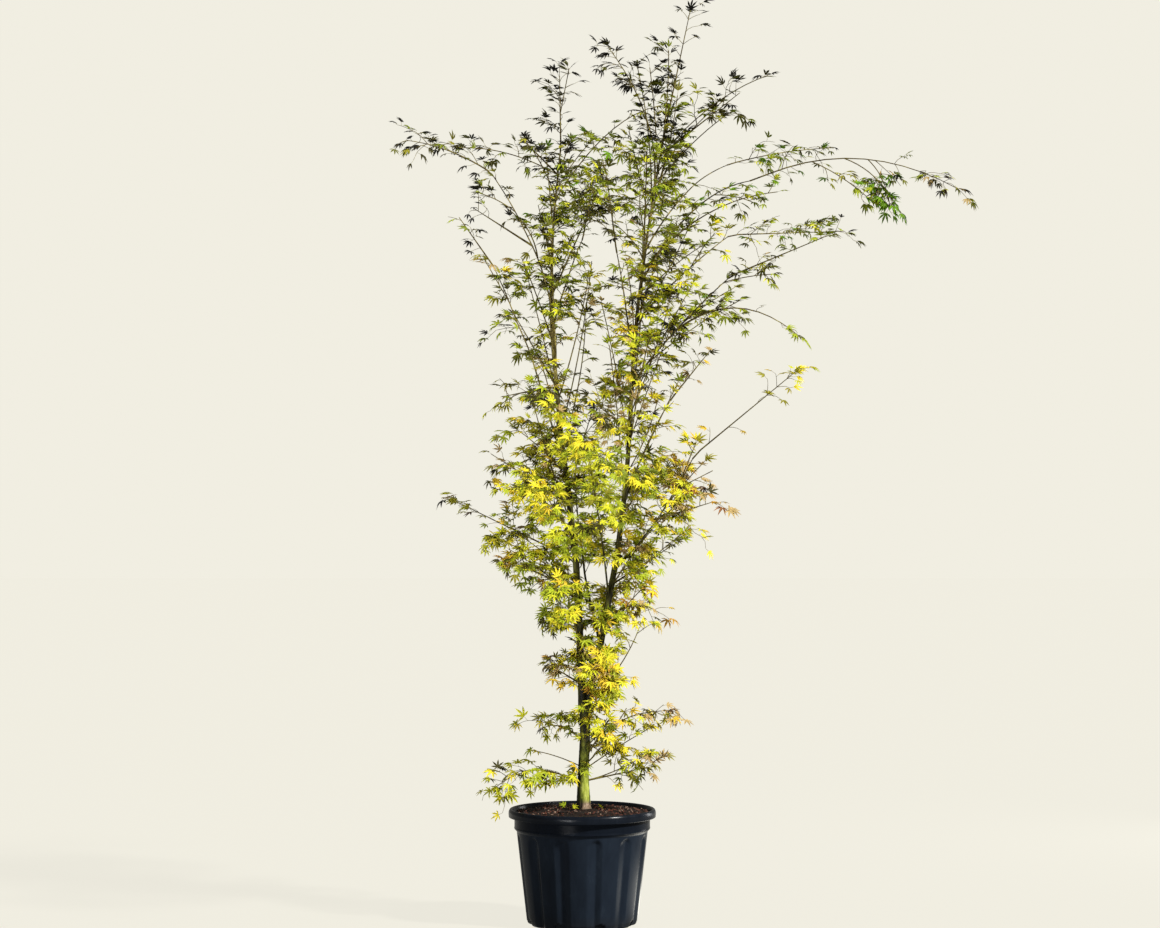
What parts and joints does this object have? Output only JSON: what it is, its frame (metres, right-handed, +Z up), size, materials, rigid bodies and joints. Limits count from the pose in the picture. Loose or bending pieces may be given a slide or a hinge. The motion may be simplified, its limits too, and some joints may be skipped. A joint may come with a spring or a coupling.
{
  "type": "potted japanese maple",
  "caption": "Airy upright maple with two slender stems and arching boughs of lobed leaves, green above and golden below, planted in a fluted dark plastic nursery pot.",
  "frame": {"origin": "centre of the pot's underside, on the ground", "axes": "+Z up along the trunk; -Y towards the front, the side that shows the fork with the longer boughs reaching to +X, the right"},
  "size_m": [1.587, 1.3931, 2.5281],
  "materials": {
    "pot": "satin",
    "soil": "matte",
    "trunk": "matte",
    "stems": "matte",
    "green": "matte",
    "dark": "matte",
    "bright": "matte",
    "gold": "matte"
  },
  "bodies": {
    "root": {"pot": "pot", "soil": "soil", "trunk": "trunk", "stem_left": "stems", "stem_right": "stems", "stem_back": "stems", "bough_left_mid": "stems", "bough_left_high": "stems", "bough_back": "stems", "bough_front": "stems", "bough_right_spread": "stems", "bough_right_low": "stems", "bough_right_red": "stems", "bough_right_mid": "stems", "bough_right_long": "stems", "bough_right_top": "stems", "bough_upper_back": "stems", "bough_upper_front": "stems", "leaves_foot_left": "gold", "leaves_foot_right": "gold", "leaves_fork_left": "green", "leaves_fork_right": "gold", "leaves_collar_left": "gold", "leaves_collar_right": "gold", "leaves_hang_left": "green", "leaves_hang_right": "gold", "leaves_left_wide": "green", "leaves_left_row": "green", "leaves_left_sparse": "green", "leaves_front": "green", "leaves_front_left": "green", "leaves_back": "green", "leaves_back_right": "green", "leaves_right_mid": "green", "leaves_right_gold": "gold", "leaves_right_spread": "gold", "leaves_stem_back": "green", "leaves_left_bend": "green", "leaves_left_inner": "green", "leaves_left_outer": "dark", "leaves_centre_low": "green", "leaves_right_shoot": "bright", "leaves_right_dense": "bright", "leaves_right_red": "bright", "leaves_left_fork": "dark", "leaves_left_arch": "dark", "leaves_left_crown": "green", "leaves_centre": "green", "leaves_left_row_top": "dark", "leaves_left_top": "dark", "leaves_upper_back": "green", "leaves_upper_front": "green", "leaves_right_crown": "green", "leaves_right_crown_front": "green", "leaves_dark_top": "dark", "leaves_right_top": "dark", "leaves_right_top_side": "bright", "leaves_arch_top": "bright", "leaves_arch_mid": "bright", "leaves_arch_long": "bright"}
  },
  "joints": []
}
